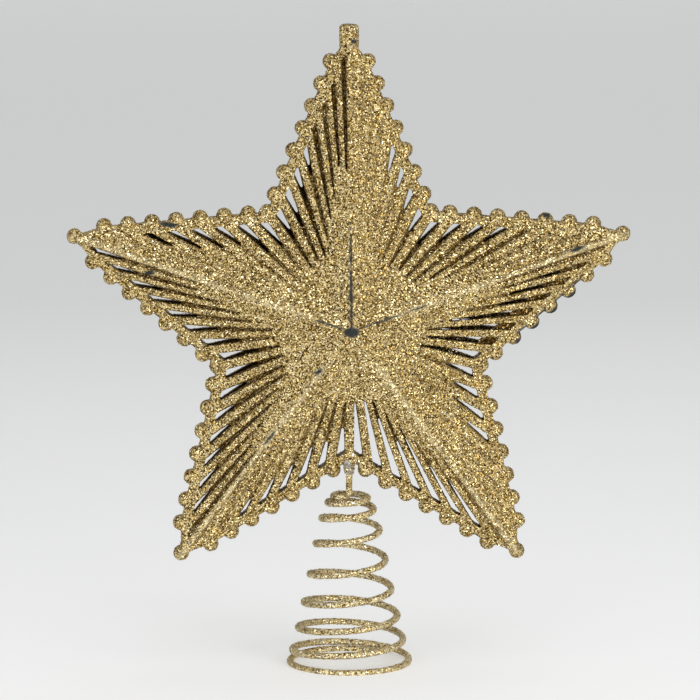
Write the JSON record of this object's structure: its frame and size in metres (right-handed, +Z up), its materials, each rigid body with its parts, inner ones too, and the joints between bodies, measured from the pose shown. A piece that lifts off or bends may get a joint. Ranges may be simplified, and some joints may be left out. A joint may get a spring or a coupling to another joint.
{
  "type": "christmas tree topper star",
  "caption": "Glittered star for the top of a christmas tree: ribbed shells back to back with a beaded rim, glued on a conical wire spring that slips over the top shoot.",
  "frame": {"origin": "on the floor, on the axis of the conical spring", "axes": "+Z up through the star's upper tip, front of the star towards -Y, +X to the viewer's right"},
  "size_m": [0.2006, 0.0452, 0.2302],
  "materials": {
    "glittered_plastic": "gold glitter over dark plastic",
    "glittered_wire": "gold glitter over steel wire",
    "hot_melt_glue": "clear hot-melt glue, slightly cloudy"
  },
  "bodies": {
    "spring": {"spring_wire": "glittered_wire"},
    "star": {"front_shell": "glittered_plastic", "back_shell": "glittered_plastic", "stem_glue": "hot_melt_glue"}
  },
  "joints": [
    {"name": "spring_travel", "type": "slide", "parent": "spring", "child": "star", "axis": [0, 0, 1], "range_m": [-0.025, 0.012], "stiffness_N_per_m": 550, "springref_m": 0.00124, "deforming": ["spring_wire"]}
  ]
}
